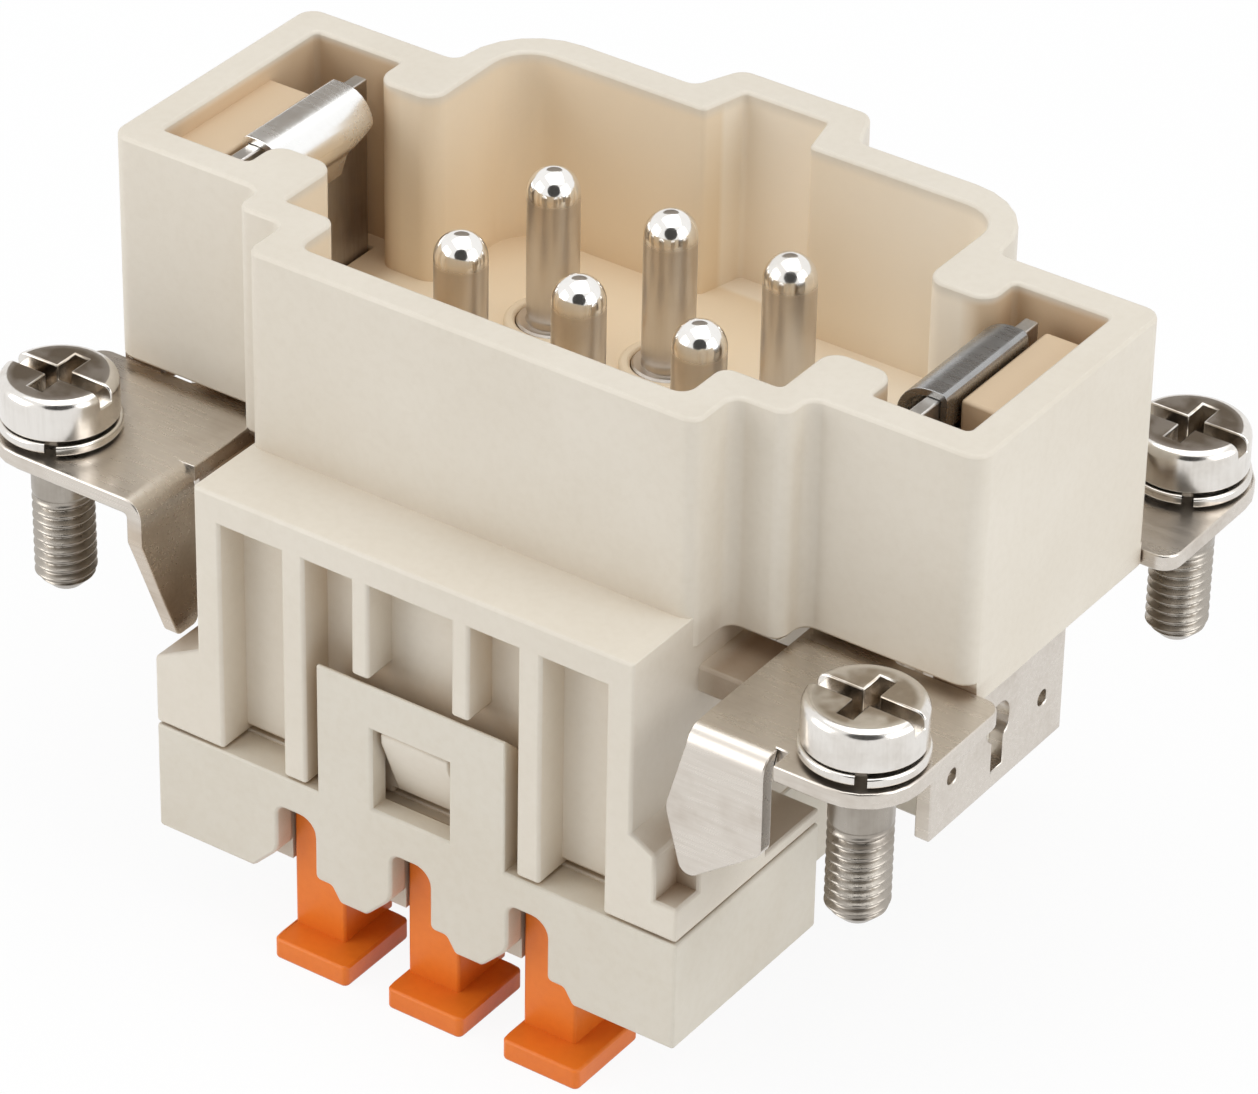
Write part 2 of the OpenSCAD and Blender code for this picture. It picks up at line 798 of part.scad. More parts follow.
// Springy tongue clipped over the top of the blade and bulging into the cavity
module earth_spring() {
    clip_r = tongue_t / 2 + tongue_gap;
    top = blade_top + clip_r;
    outer = blade_x + blade_t / 2 + clip_r;
    inner = blade_x - blade_t / 2 - tongue_bulge;
    path = concat(
        [[outer, top - tongue_hook]],
        arc([outer - clip_r, top - clip_r], clip_r, 0, 90, 5),
        arc([inner + tongue_r, top - tongue_r], tongue_r, 90, 215, 10),
        [[blade_x - blade_t / 2 - tongue_bulge / 2, top - tongue_l]]
    );
    side = [
        [tongue_tip_w / 2, top - tongue_l - past, 0],
        [tongue_tip_w / 2, top - tongue_r - tongue_step, tongue_step / 2],
        [tongue_w / 2, top - tongue_r, tongue_step / 2],
        [tongue_w / 2, top + past, 0]
    ];
    color([0.9, 0.9, 0.9]) intersection() {
        along_y(tongue_w + past) polygon(sheet(path, tongue_t));
        translate([blade_x, 0, 0]) along_x(4 * tongue_r) polygon(rounded(concat(side, flip_x(side))));
    }
}

// Split washer at the origin
module lock_washer() {
    color([0.8, 0.79, 0.77]) translate([0, 0, washer_z]) difference() {
        cylinder(d = washer_d, h = washer_t);
        translate([0, 0, -past]) cylinder(r = hole_r, h = washer_t + 2 * past);
        rotate([0, 0, -60]) block([0, -washer_split / 2, -past], [washer_d, washer_split / 2, washer_t + past]);
    }
}

// Screw at the origin, with a slot and a cross in its head
module mounting_screw() {
    top = head_z + head_h;
    profile = concat(
        [[0, -screw_reach], [screw_d / 2 - screw_point, -screw_reach]],
        [[screw_d / 2, -screw_reach + screw_point], [screw_d / 2, -neck_drop]],
        [[screw_neck_r, -neck_drop], [screw_neck_r, head_z], [head_d / 2, head_z]],
        arc([head_d / 2 - head_r, top - head_r], head_r, 0, 90, 5),
        [[0, top]]
    );
    color([0.84, 0.83, 0.81]) difference() {
        rotate_extrude() polygon(profile);
        block([-head_d, -drive_w / 2, top - slot_depth], [head_d, drive_w / 2, top + past]);
        block([-drive_w / 2, -cross_r, top - cross_depth], [drive_w / 2, cross_r, top + past]);
        block([-cross_r, -drive_w / 2, top - cross_depth], [cross_r, drive_w / 2, top + past]);
    }
}

// Screw places, anticlockwise from the front left
SCREW_PLACES = [for (s = [[-1, -1], [1, -1], [1, 1], [-1, 1]]) [s[0] * screw_pitch_x, s[1] * screw_pitch_y] / 2];

contact_carrier();
wire_cover();
for (i = [0:POLES - 1]) {
    at_pole(i) pin();
    at_pole(i) current_bar();
    at_pole(i) clamp_spring();
    at_pole(i) release_lever();
}
rotate([0, 0, 180]) earth_plate();  // earth_plate_left
earth_plate();  // earth_plate_right
rotate([0, 0, 180]) earth_contact();  // earth_contact_left
earth_contact();  // earth_contact_right
rotate([0, 0, 180]) earth_spring();  // earth_spring_left
earth_spring();  // earth_spring_right
for (i = [0:3]) {
    translate(SCREW_PLACES[i]) lock_washer();
    translate(SCREW_PLACES[i]) mounting_screw();
}
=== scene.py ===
"""Looks of a rectangular connector insert: finishes, rounded edges, pins, threads, light and camera."""
import json
import math

import bmesh
import bpy
import numpy as np
from mathutils import Matrix, Vector


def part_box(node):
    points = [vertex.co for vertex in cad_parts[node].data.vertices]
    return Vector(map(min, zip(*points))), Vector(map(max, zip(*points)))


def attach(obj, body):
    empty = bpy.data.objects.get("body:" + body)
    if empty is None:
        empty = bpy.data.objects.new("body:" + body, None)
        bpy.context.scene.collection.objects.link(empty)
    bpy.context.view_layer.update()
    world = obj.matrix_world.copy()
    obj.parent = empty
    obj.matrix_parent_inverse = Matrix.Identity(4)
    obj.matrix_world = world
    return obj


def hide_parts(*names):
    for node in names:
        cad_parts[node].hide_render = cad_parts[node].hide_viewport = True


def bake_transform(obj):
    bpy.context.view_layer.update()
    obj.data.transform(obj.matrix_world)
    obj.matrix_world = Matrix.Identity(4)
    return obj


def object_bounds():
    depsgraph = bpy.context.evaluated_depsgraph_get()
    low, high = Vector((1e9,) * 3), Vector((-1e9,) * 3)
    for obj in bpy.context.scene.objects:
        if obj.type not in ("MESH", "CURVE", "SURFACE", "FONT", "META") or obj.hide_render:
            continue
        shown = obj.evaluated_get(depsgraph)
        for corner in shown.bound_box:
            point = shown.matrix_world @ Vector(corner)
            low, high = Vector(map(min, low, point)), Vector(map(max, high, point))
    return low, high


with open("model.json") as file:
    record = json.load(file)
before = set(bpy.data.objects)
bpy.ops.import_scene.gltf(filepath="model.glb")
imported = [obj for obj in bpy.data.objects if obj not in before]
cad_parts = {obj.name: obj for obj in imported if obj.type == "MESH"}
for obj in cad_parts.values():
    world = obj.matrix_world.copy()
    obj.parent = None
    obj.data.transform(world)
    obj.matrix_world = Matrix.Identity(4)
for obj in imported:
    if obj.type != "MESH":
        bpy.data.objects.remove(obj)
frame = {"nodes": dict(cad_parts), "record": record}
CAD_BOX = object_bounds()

MM = 0.001
NODES = frame["nodes"]
POLES = range(1, 7)
SCREWS = range(1, 5)
ENDS = ("left", "right")

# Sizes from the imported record, in mm
MOUNTS = {mount["name"]: mount for mount in frame["record"]["mounts"]}
SCREW_DIMS = MOUNTS["fixing_screws"]["dims"]
PIN_DIMS = MOUNTS["contact_pin_1"]["dims"]
SCREW_X = SCREW_DIMS["spacing_x_mm"] / 2
SCREW_Y = SCREW_DIMS["spacing_y_mm"] / 2
SHANK_R = SCREW_DIMS["stud_r_mm"]
PIN_R = PIN_DIMS["r_mm"]

# Levels on the part, in mm: the shroud's rim, the floor inside it and the top of the bosses round the pins
RIM = CAD_BOX[1].z / MM
CAVITY_FLOOR = 3.0
BOSS_TOP = MOUNTS["contact_pin_1"]["pos_m"][2] / MM - PIN_DIMS["length_mm"] / 2

# Half sizes in mm of the masked areas: the shroud's inside, its cut front corners, key groove and pockets
SHROUD_X, SHROUD_Y = 14.0, 11.3
FRONT_X, FRONT_Y = 11.25, 8.45
KEY_X, KEY_Y = 3.0, 14.1
POCKET_X, POCKET_Y = 22.65, 6.65
# Half the width of a mask's soft border, in mm
SOFT = 0.15

# Level in mm where a screw's own head and neck end, just below the top of the threaded shank
HEAD_END = -0.31

# Colour sockets of Blender's Mix node, which share their names with its number sockets
MIX_FIRST, MIX_SECOND, MIX_RESULT = 6, 7, 2


# Node trees

def feed(tree, socket, value):
    """Links a socket to the value where that is a socket too, and else sets it to the value."""
    if isinstance(value, bpy.types.NodeSocket):
        tree.links.new(value, socket)
    else:
        socket.default_value = value


def add_node(tree, kind, settings=None, **inputs):
    """One node with its settings and inputs; an underscore in an input's name stands for a space."""
    node = tree.nodes.new(kind)
    for name, value in (settings or {}).items():
        setattr(node, name, value)
    for name, value in inputs.items():
        feed(tree, node.inputs[name.replace("_", " ")], value)
    return node


def new_group(name, inputs, outputs):
    """Empty node group with named sockets; returns the tree, its input node and its output node."""
    tree = bpy.data.node_groups.new(name, "ShaderNodeTree")
    for title, (kind, value) in inputs.items():
        socket = tree.interface.new_socket(title, in_out="INPUT", socket_type=kind)
        if value is not None:
            socket.default_value = value
    for title, kind in outputs.items():
        tree.interface.new_socket(title, in_out="OUTPUT", socket_type=kind)
    return tree, tree.nodes.new("NodeGroupInput"), tree.nodes.new("NodeGroupOutput")


def put_out(tree, out, **results):
    """Feeds a group's outputs and returns the group."""
    for title, value in results.items():
        feed(tree, out.inputs[title], value)
    return tree


def noise(tree, vector, scale, detail=3.0, roughness=0.5):
    """Noise texture on a vector; scale is in waves per metre."""
    node = add_node(tree, "ShaderNodeTexNoise", Vector=vector, Scale=scale, Detail=detail,
                    Roughness=roughness)
    return node.outputs["Fac"]


def remap(tree, value, span, to=(0.0, 1.0), smooth=False):
    """Value mapped from one range to another and held at its ends."""
    kind = "SMOOTHSTEP" if smooth else "LINEAR"
    node = add_node(tree, "ShaderNodeMapRange", {"interpolation_type": kind}, Value=value,
                    From_Min=span[0], From_Max=span[1], To_Min=to[0], To_Max=to[1])
    return node.outputs["Result"]


def ramp(tree, length, border, top=1.0, smooth=False):
    """Mask of a length in metres: 0 at the start of a border in mm, and top at its end."""
    start, end = border
    return remap(tree, length, (start * MM, end * MM), (0.0, top), smooth)


def maths(tree, operation, first, *others):
    """One operation on sockets or plain numbers, from left to right."""
    result = first
    for other in others or (None,):
        node = add_node(tree, "ShaderNodeMath", {"operation": operation})
        for socket, value in zip(node.inputs, (result, other)):
            if value is not None:
                feed(tree, socket, value)
        result = node.outputs[0]
    return result


def blend_colour(tree, factor, first, second, mode="MIX"):
    """Two colours mixed by a mask; each may be a socket or four numbers."""
    node = add_node(tree, "ShaderNodeMix", {"data_type": "RGBA", "blend_type": mode}, Factor=factor)
    feed(tree, node.inputs[MIX_FIRST], first)
    feed(tree, node.inputs[MIX_SECOND], second)
    return node.outputs[MIX_RESULT]


def axes(tree, place):
    """The X, Y and Z of a place."""
    return add_node(tree, "ShaderNodeSeparateXYZ", Vector=place).outputs


def moulded_grain_group():
    """Moulded plastic: soft clouding of two shades, a fine eroded grain and a little change of gloss."""
    tree, inside, out = new_group(
        "moulded_grain",
        {
            "Vector": ("NodeSocketVector", None),
            "Colour": ("NodeSocketColor", (0.7, 0.6, 0.5, 1)),
            "Shade": ("NodeSocketColor", (0.6, 0.5, 0.4, 1)),
            "Gloss": ("NodeSocketFloat", 0.4),
        },
        {"Colour": "NodeSocketColor", "Roughness": "NodeSocketFloat", "Height": "NodeSocketFloat"},
    )
    vector = inside.outputs["Vector"]
    coarse_share = 0.6
    broad = noise(tree, vector, scale=140.0, detail=4.0)
    dots = noise(tree, vector, scale=2600.0, detail=2.0)
    cloud = remap(tree, broad, (0.35, 0.7), to=(0.0, 0.5), smooth=True)
    speck = remap(tree, dots, (0.4, 0.75), to=(0.0, 0.35))
    mottle = maths(tree, "ADD", cloud, speck)
    smear = remap(tree, noise(tree, vector, scale=420.0), (0.3, 0.7), to=(-0.06, 0.08))
    fine = noise(tree, vector, scale=5200.0, detail=2.0, roughness=0.6)
    coarse = noise(tree, vector, scale=900.0, detail=2.0)
    return put_out(tree, out,
                   Colour=blend_colour(tree, mottle, inside.outputs["Colour"], inside.outputs["Shade"]),
                   Roughness=maths(tree, "ADD", inside.outputs["Gloss"], smear),
                   Height=maths(tree, "ADD", fine, maths(tree, "MULTIPLY", coarse, coarse_share)))


def plated_metal_group():
    """Plated metal: drawn streaks along one way, which also set its relief, and faint tarnish clouds."""
    tree, inside, out = new_group(
        "plated_metal",
        {
            "Vector": ("NodeSocketVector", None),
            "Colour": ("NodeSocketColor", (0.8, 0.8, 0.8, 1)),
            "Tarnish": ("NodeSocketColor", (0.5, 0.45, 0.4, 1)),
            "Gloss": ("NodeSocketFloat", 0.2),
            "Streak": ("NodeSocketFloat", 0.5),
        },
        {"Colour": "NodeSocketColor", "Roughness": "NodeSocketFloat", "Height": "NodeSocketFloat"},
    )
    vector, share = inside.outputs["Vector"], inside.outputs["Streak"]
    narrowing, cloud_dulling = 14.0, 0.12
    stretched = add_node(tree, "ShaderNodeMapping", Vector=vector, Scale=(1.0, narrowing, narrowing))
    streak = noise(tree, stretched.outputs["Vector"], scale=330.0, detail=4.0, roughness=0.65)
    blotch = noise(tree, vector, scale=260.0, detail=4.0, roughness=0.6)
    cloud = remap(tree, blotch, (0.45, 0.75), to=(0.0, 0.6), smooth=True)
    lines = maths(tree, "MULTIPLY", remap(tree, streak, (0.4, 0.8), to=(0.0, 0.6)), share)
    dark = maths(tree, "ADD", cloud, lines)
    drawn = maths(tree, "MULTIPLY", remap(tree, streak, (0.3, 0.7), to=(-0.04, 0.16)), share)
    dimmed = maths(tree, "MULTIPLY", cloud, cloud_dulling)
    return put_out(tree, out,
                   Colour=blend_colour(tree, dark, inside.outputs["Colour"], inside.outputs["Tarnish"]),
                   Roughness=maths(tree, "ADD", inside.outputs["Gloss"], drawn, dimmed),
                   Height=maths(tree, "MULTIPLY", streak, share))


def cavity_depth_group():
    """Masks from the place in metres, for painted light and shade: the shroud's inside and its end pockets,
    0 at the rim and 1 deep down, its right half and key groove, painted brighter, and the corners under the
    plates, beside their legs, painted in shade."""
    tree, inside, out = new_group("cavity_depth", {"Vector": ("NodeSocketVector", None)},
                                  dict.fromkeys(("Mask", "Right", "Pocket", "Under"), "NodeSocketFloat"))
    # Where each mask starts and where it is full, in mm
    behind, right_side, groove = (0.0, 1.0), (1.0, 10.0), (SHROUD_Y + SOFT, SHROUD_Y + 3 * SOFT)
    rim, pocket_rim, depth = (RIM - 0.1, RIM - 0.8), (RIM - 0.1, RIM - 0.6), (RIM - 0.8, CAVITY_FLOOR + 2.0)
    floor = (CAVITY_FLOOR - 0.3, CAVITY_FLOOR - 0.05)
    pocket_side, outer_side, leg_side, long_side = (15.3, 16.3), (11.5, 13.0), (15.6, 14.6), (9.4, 10.4)
    upper, lower = (3.0, 1.8), (1.15, 0.95)
    rim_share, depth_share = 0.7, 0.3
    x, y, height = axes(tree, inside.outputs["Vector"])
    along = maths(tree, "ABSOLUTE", x)
    across = maths(tree, "ABSOLUTE", y)

    def within(reach_x, reach_y):
        """Mask of a rectangle about the middle."""
        return maths(tree, "MULTIPLY", ramp(tree, along, (reach_x + SOFT, reach_x - SOFT)),
                     ramp(tree, across, (reach_y + SOFT, reach_y - SOFT)))

    pockets = within(POCKET_X, POCKET_Y)
    whole = maths(tree, "MAXIMUM", within(KEY_X, KEY_Y), within(SHROUD_X, SHROUD_Y))
    back_half = maths(tree, "MULTIPLY", whole, ramp(tree, y, behind))
    plan = maths(tree, "MAXIMUM", back_half, within(FRONT_X, SHROUD_Y), within(SHROUD_X, FRONT_Y), pockets)
    deep = maths(tree, "ADD", ramp(tree, height, rim, rim_share, smooth=True),
                 ramp(tree, height, depth, depth_share, smooth=True))
    cavity = maths(tree, "MULTIPLY", plan, deep, ramp(tree, height, floor))
    right = maths(tree, "MAXIMUM", ramp(tree, x, right_side), ramp(tree, y, groove))
    pocket = maths(tree, "MULTIPLY", pockets, ramp(tree, along, pocket_side),
                   ramp(tree, height, pocket_rim, smooth=True))
    outer = ramp(tree, along, outer_side, smooth=True)
    # Painted shade under the plates and in the corners beside their legs
    over_plate = maths(tree, "MULTIPLY", outer, ramp(tree, along, leg_side), ramp(tree, across, long_side),
                       ramp(tree, height, upper, smooth=True))
    under_plate = maths(tree, "MULTIPLY", outer, ramp(tree, height, lower))
    return put_out(tree, out, Mask=cavity, Right=right, Pocket=pocket,
                   Under=maths(tree, "MAXIMUM", over_plate, under_plate))


MOULDED_GRAIN = moulded_grain_group()
PLATED_METAL = plated_metal_group()
CAVITY_DEPTH = cavity_depth_group()


# Materials

def new_material(name):
    """Material with a Principled shader; returns it, its tree, the shader and the Object coordinates."""
    material = bpy.data.materials.new(name)
    material.use_nodes = True
    tree = material.node_tree
    place = tree.nodes.new("ShaderNodeTexCoord").outputs["Object"]
    return material, tree, tree.nodes["Principled BSDF"], place


def place_group(tree, group, vector, **inputs):
    """A node group in a material, on the given coordinates."""
    return add_node(tree, "ShaderNodeGroup", {"node_tree": group}, Vector=vector, **inputs)


def bump(tree, shader, height, strength, depth):
    """Relief from a height mask, its depth in mm."""
    node = add_node(tree, "ShaderNodeBump", Height=height, Strength=strength, Distance=depth * MM)
    tree.links.new(node.outputs["Normal"], shader.inputs["Normal"])


def rgba(red, green, blue):
    """Opaque colour."""
    return (red, green, blue, 1.0)


def crevice(tree, reach, openness):
    """Mask of painted shade in tight corners and gaps, from ambient occlusion with a reach in mm: 1 up to
    the first share of open sky and 0 from the second."""
    node = add_node(tree, "ShaderNodeAmbientOcclusion", {"samples": 2}, Distance=reach * MM)
    return remap(tree, node.outputs["AO"], openness, (1.0, 0.0), smooth=True)


def moulding(name, colour, cloud, gloss, corner_shade, painted_light_and_shade=None):
    """Satin moulded plastic; corner_shade is the colour of the painted shade in tight corners and gaps.
    painted_light_and_shade has the carrier's painted light and shade: amber light from its own reflections
    inside the shroud, on its left and its brighter right, darker amber shade in its pockets and shade under
    the plates."""
    material, tree, shader, place = new_material(name)
    grain = place_group(tree, MOULDED_GRAIN, place, Colour=rgba(*colour), Shade=rgba(*cloud), Gloss=gloss)
    result = grain.outputs["Colour"]
    if painted_light_and_shade:
        masks = place_group(tree, CAVITY_DEPTH, place).outputs
        left, right, pocket, under = (rgba(*tone) for tone in painted_light_and_shade)
        # Painted amber light inside the shroud, brighter on its right, and darker painted shade in its end
        # pockets
        cavity = blend_colour(tree, masks["Right"], left, right)
        result = blend_colour(tree, masks["Mask"], result, cavity)
        result = blend_colour(tree, masks["Pocket"], result, pocket)
        # Painted shade under the plates, deepest where they hide the carrier from the open sky
        painted_under_shade = maths(tree, "MULTIPLY", masks["Under"], crevice(tree, reach=8.0, openness=(0.35, 0.85)))
        result = blend_colour(tree, painted_under_shade, result, under, "MULTIPLY")
    # Painted shade: tight corners and gaps are darkened where little open sky reaches them
    corners = crevice(tree, reach=3.5, openness=(0.15, 0.5))
    result = blend_colour(tree, corners, result, rgba(*corner_shade), "MULTIPLY")
    feed(tree, shader.inputs["Base Color"], result)
    feed(tree, shader.inputs["Roughness"], grain.outputs["Roughness"])
    bump(tree, shader, grain.outputs["Height"], strength=0.35, depth=0.012)
    shader.inputs["Specular IOR Level"].default_value = 0.4
    return material


def screw_top_shade(tree, place):
    """Mask of painted shade and dark reflection on the screws' head middles and slots, broken up into
    patches.
    """
    middle, head = (2.4, 2.0), (1.8, 2.0)
    x, y, height = axes(tree, place)
    away_x = maths(tree, "SUBTRACT", maths(tree, "ABSOLUTE", x), SCREW_X * MM)
    away_y = maths(tree, "SUBTRACT", maths(tree, "ABSOLUTE", y), SCREW_Y * MM)
    squares = (maths(tree, "MULTIPLY", away, away) for away in (away_x, away_y))
    radius = maths(tree, "SQRT", maths(tree, "ADD", *squares))
    spots = noise(tree, place, scale=700.0, detail=2.0)
    patches = remap(tree, spots, (0.35, 0.6), to=(0.25, 1.0), smooth=True)
    whole = maths(tree, "MULTIPLY", ramp(tree, radius, middle, smooth=True), ramp(tree, height, head))
    return maths(tree, "MULTIPLY", whole, patches)


def left_leg(tree, place):
    """Mask of the left plate's front leg, which stands in the carrier's shade."""
    left, front, below = (1.0, -1.0), (-7.0, -8.0), (-0.1, -0.9)
    x, y, height = axes(tree, place)
    return maths(tree, "MULTIPLY", ramp(tree, x, left), ramp(tree, y, front), ramp(tree, height, below))


def pin_shaft(tree, place):
    """Mask of the pins below their round tips, which the tint makes darker and dull makes rougher."""
    below_tip = (10.7, 10.2)
    return ramp(tree, axes(tree, place)["Z"], below_tip, smooth=True)


LEVEL = (0.0, 0.0, 0.0)
UPRIGHT = (0.0, math.pi / 2, 0.0)


def metal(name, colour, tarnish, gloss, streak, turn=LEVEL, relief=0.004, where=None, tint=None, dull=0.0):
    """Plated metal; turn lays the drawn streaks along the piece and relief is their depth in mm. Where a
    mask says so, tint darkens it and dull roughens it."""
    material, tree, shader, place = new_material(name)
    turned = add_node(tree, "ShaderNodeMapping", Vector=place, Rotation=turn).outputs["Vector"]
    plating = place_group(tree, PLATED_METAL, turned, Colour=rgba(*colour), Tarnish=rgba(*tarnish),
                          Gloss=gloss, Streak=streak)
    result, rough = plating.outputs["Colour"], plating.outputs["Roughness"]
    if where:
        mask = where(tree, place)
        result = blend_colour(tree, mask, result, rgba(*tint), "MULTIPLY")
        rough = maths(tree, "ADD", rough, maths(tree, "MULTIPLY", mask, dull))
    feed(tree, shader.inputs["Base Color"], result)
    feed(tree, shader.inputs["Roughness"], rough)
    shader.inputs["Metallic"].default_value = 1.0
    bump(tree, shader, plating.outputs["Height"], strength=0.25, depth=relief)
    return material


# Colour of the painted shade in the mouldings' tight corners and gaps
PAINTED_CORNER_SHADE = (0.81, 0.67, 0.52)
# The carrier's painted light and shade: amber light inside the shroud, pocket shade, shade under the plates
BEIGE = moulding("beige_moulding", (0.745, 0.685, 0.59), cloud=(0.695, 0.63, 0.53), gloss=0.42,
                 corner_shade=PAINTED_CORNER_SHADE,
                 painted_light_and_shade=((0.885, 0.735, 0.535), (0.965, 0.87, 0.725), (0.68, 0.52, 0.35), (0.40, 0.29, 0.20)))
COVER = moulding("cover_moulding", (0.70, 0.65, 0.56), cloud=(0.65, 0.59, 0.49), gloss=0.45,
                 corner_shade=PAINTED_CORNER_SHADE)
ORANGE = moulding("orange_moulding", (0.87, 0.215, 0.020), cloud=(0.79, 0.172, 0.014), gloss=0.36,
                  corner_shade=(0.80, 0.70, 0.60))
SILVER = metal("pin_plating", (0.90, 0.88, 0.85), tarnish=(0.74, 0.70, 0.64), gloss=0.10, streak=0.25,
               turn=UPRIGHT, where=pin_shaft, tint=(0.68, 0.64, 0.60), dull=0.22)
# Its tint paints the carrier's shade on the left plate's front leg
SHEET = metal("tinned_sheet", (0.69, 0.64, 0.58), tarnish=(0.50, 0.44, 0.375), gloss=0.26, streak=0.55,
              relief=0.0025, where=left_leg, tint=(0.90, 0.84, 0.77))
BLADE = metal("blade_sheet", (0.62, 0.60, 0.57), tarnish=(0.42, 0.39, 0.36), gloss=0.30, streak=0.7,
              turn=UPRIGHT)
SPRING = metal("spring_steel", (0.96, 0.96, 0.95), tarnish=(0.84, 0.83, 0.81), gloss=0.22, streak=0.35)
# Its tint paints shade and a dark reflection on the screw heads' middles and in their slots
NICKEL = metal("nickel_steel", (0.80, 0.77, 0.73), tarnish=(0.55, 0.50, 0.44), gloss=0.17, streak=0.3,
               turn=UPRIGHT, where=screw_top_shade, tint=(0.50, 0.45, 0.39))
THREAD = metal("thread_steel", (0.42, 0.385, 0.34), tarnish=(0.26, 0.225, 0.19), gloss=0.26, streak=0.4,
               turn=UPRIGHT)
# Painted shade: a darker copy of the spring steel for the right earth tongue, whose fold faces away from the
# light
SHADED_SPRING = metal("shaded_spring_steel", (0.40, 0.40, 0.40), tarnish=(0.24, 0.235, 0.23), gloss=0.24,
                    streak=0.5)
COPPER = metal("copper_bar", (0.78, 0.55, 0.36), tarnish=(0.52, 0.33, 0.20), gloss=0.30, streak=0.5)


# Meshes

def link_object(name, mesh, material):
    """Object of a mesh with one material, linked to the scene."""
    mesh.materials.clear()
    mesh.materials.append(material)
    piece = bpy.data.objects.new(name, mesh)
    bpy.context.scene.collection.objects.link(piece)
    return piece


def grid_quads(rows, columns):
    """Quads of a grid of points, row by row, with its last column joined to the first."""
    row, column = np.meshgrid(np.arange(rows - 1), np.arange(columns), indexing="ij")
    after = (column + 1) % columns
    near, far = row * columns, (row + 1) * columns
    return np.stack((near + column, near + after, far + after, far + column), axis=-1).reshape(-1, 4)


def mark_smooth(work, sharp):
    """Shades smooth but for edges sharper than the angle in degrees."""
    work.normal_update()
    for face in work.faces:
        face.smooth = True
    for edge in work.edges:
        edge.smooth = len(edge.link_faces) == 2 and edge.calc_face_angle() < math.radians(sharp)


def finished(name, mesh, material, sharp=40.0):
    """Merges doubles, turns faces outwards, shades smooth and links the object."""
    same_place, sliver = 1e-7, 1e-8
    work = bmesh.new()
    work.from_mesh(mesh)
    bmesh.ops.remove_doubles(work, verts=work.verts, dist=same_place)
    bmesh.ops.dissolve_degenerate(work, edges=work.edges, dist=sliver)
    bmesh.ops.recalc_face_normals(work, faces=work.faces)
    mark_smooth(work, sharp)
    work.to_mesh(mesh)
    work.free()
    return link_object(name, mesh, material)


def surface_piece(name, surface, material):
    """Object at the origin from a surface's points in metres and its quads."""
    points, quads = surface
    mesh = bpy.data.meshes.new(name)
    mesh.from_pydata(points.reshape(-1, 3).tolist(), [], quads.tolist())
    return finished(name, mesh, material)


def lathe(profile, turns=64):
    """Surface of revolution about Z: each profile point [r, z] in mm is carried round a full circle."""
    profile = np.asarray(profile, float)
    angle = np.linspace(0, 2 * np.pi, turns, endpoint=False)
    r, z = profile[:, :1], np.repeat(profile[:, 1:], turns, axis=1)
    points = np.stack((r * np.cos(angle), r * np.sin(angle), z), axis=-1)
    return points * MM, grid_quads(len(profile), turns)


def arc_points(centre, radius, start, stop, steps):
    """Points of a circle's arc, angles in degrees."""
    angle = np.radians(np.linspace(start, stop, steps))
    return np.stack((centre[0] + radius * np.cos(angle), centre[1] + radius * np.sin(angle)), axis=-1)


def face_room(face, edge):
    """Width of a face square to one of its edges: the way in to the nearest other border, at four places."""
    flat, leaning, least = math.radians(5), 0.6, 1e-7
    loop = next(side for side in edge.link_loops if side.face is face)
    start = loop.vert.co
    along = loop.link_loop_next.vert.co - start
    length = along.length
    along.normalize()
    inward = face.normal.cross(along)
    room = 1.0
    for other in face.edges:
        if other is edge or len(other.link_faces) != 2 or other.calc_face_angle() < flat:
            continue
        (u1, v1), (u2, v2) = (((v.co - start).dot(along), (v.co - start).dot(inward)) for v in other.verts)
        if set(other.verts) & set(edge.verts):
            reach = max(v1, v2)
            room = min(room, reach) if reach > leaning * other.calc_length() else room
            continue
        for share in (0.05, 0.35, 0.65, 0.95):
            u = share * length
            if (u1 - u) * (u2 - u) < 0:
                v = v1 + (v2 - v1) * (u - u1) / (u2 - u1)
                room = min(room, v) if v > least else room
    return room


def weigh_edges(work, width):
    """Gives each sharp outer edge the share of the rounding that both of its faces have room for."""
    sharp, used_room = math.radians(30), 0.42
    weight = work.edges.layers.float.new("bevel_weight_edge")
    for edge in work.edges:
        if len(edge.link_faces) == 2 and edge.is_convex and edge.calc_face_angle() > sharp:
            room = min(face_room(face, edge) for face in edge.link_faces)
            edge[weight] = min(1.0, used_room * room / width)


def rounded_copy(name, node, material, width, above=None, sharp=30.0, part_below=False):
    """The node's own mesh, merged, with its flat faces joined up and its outer edges rounded by a width in
    mm. above drops what is lower than a level in mm, and part_below keeps broad lower faces in triangles, as
    their holes leave no single outline."""
    same_place, flat, many_corners, downward = 2e-6, math.radians(1.0), 40, -0.9
    mesh = NODES[node].data.copy()
    mesh.name = name
    work = bmesh.new()
    work.from_mesh(mesh)
    bmesh.ops.remove_doubles(work, verts=work.verts, dist=same_place)
    if above is not None:
        drop = [face for face in work.faces if face.calc_center_median().z <= above * MM]
        bmesh.ops.delete(work, geom=drop, context="FACES")
    bmesh.ops.dissolve_limit(work, angle_limit=flat, verts=work.verts, edges=work.edges)
    weigh_edges(work, width * MM)
    if part_below:
        below = [face for face in work.faces if face.normal.z < downward and len(face.verts) > many_corners]
        bmesh.ops.triangulate(work, faces=below)
    mark_smooth(work, sharp)
    work.to_mesh(mesh)
    work.free()
    piece = link_object(name, mesh, material)
    rounding = piece.modifiers.new("rounded_edges", "BEVEL")
    rounding.width = width * MM
    rounding.segments = 2
    rounding.limit_method = "WEIGHT"
    rounding.use_clamp_overlap = False
    even = piece.modifiers.new("even_shading", "WEIGHTED_NORMAL")
    even.keep_sharp = True
    even.weight = 100
    return piece


# Surfaces of the turned and wound pieces

def axis_of(node):
    """A node's middle seen from above, in metres, at level 0."""
    low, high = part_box(node)
    middle = (low + high) / 2
    return np.array((middle.x, middle.y, 0))


